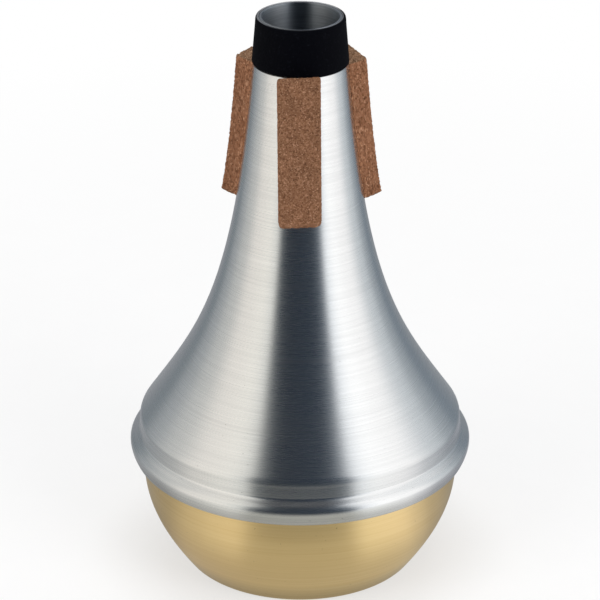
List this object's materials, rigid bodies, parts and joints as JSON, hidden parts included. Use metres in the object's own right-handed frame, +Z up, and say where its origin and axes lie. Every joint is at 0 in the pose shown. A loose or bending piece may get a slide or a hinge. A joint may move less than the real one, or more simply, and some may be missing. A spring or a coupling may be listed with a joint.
{
  "type": "trumpet straight mute",
  "caption": "Flared spun metal mute with an open neck, a bowl-shaped brass bottom joined by a rolled seam, a rubber neck sleeve and cork strips along the cone.",
  "frame": {"origin": "centre of the flat base, on the surface that the mute stands on", "axes": "+Z up along the mute's axis to the open neck, -Y towards the front cork strip, +X to the right seen from the front"},
  "size_m": [0.1078, 0.1078, 0.1812],
  "materials": {
    "aluminium": "spun aluminium with fine lines round the axis, satin",
    "brass": "satin spun brass with fine lines round the axis",
    "rubber": "matt black rubber",
    "cork": "fine-grained pressed cork, unsealed"
  },
  "bodies": {
    "root": {"body_shell": "aluminium", "bottom_cap": "brass", "neck_sleeve": "rubber", "cork_front": "cork", "cork_left": "cork", "cork_right": "cork"}
  },
  "joints": []
}
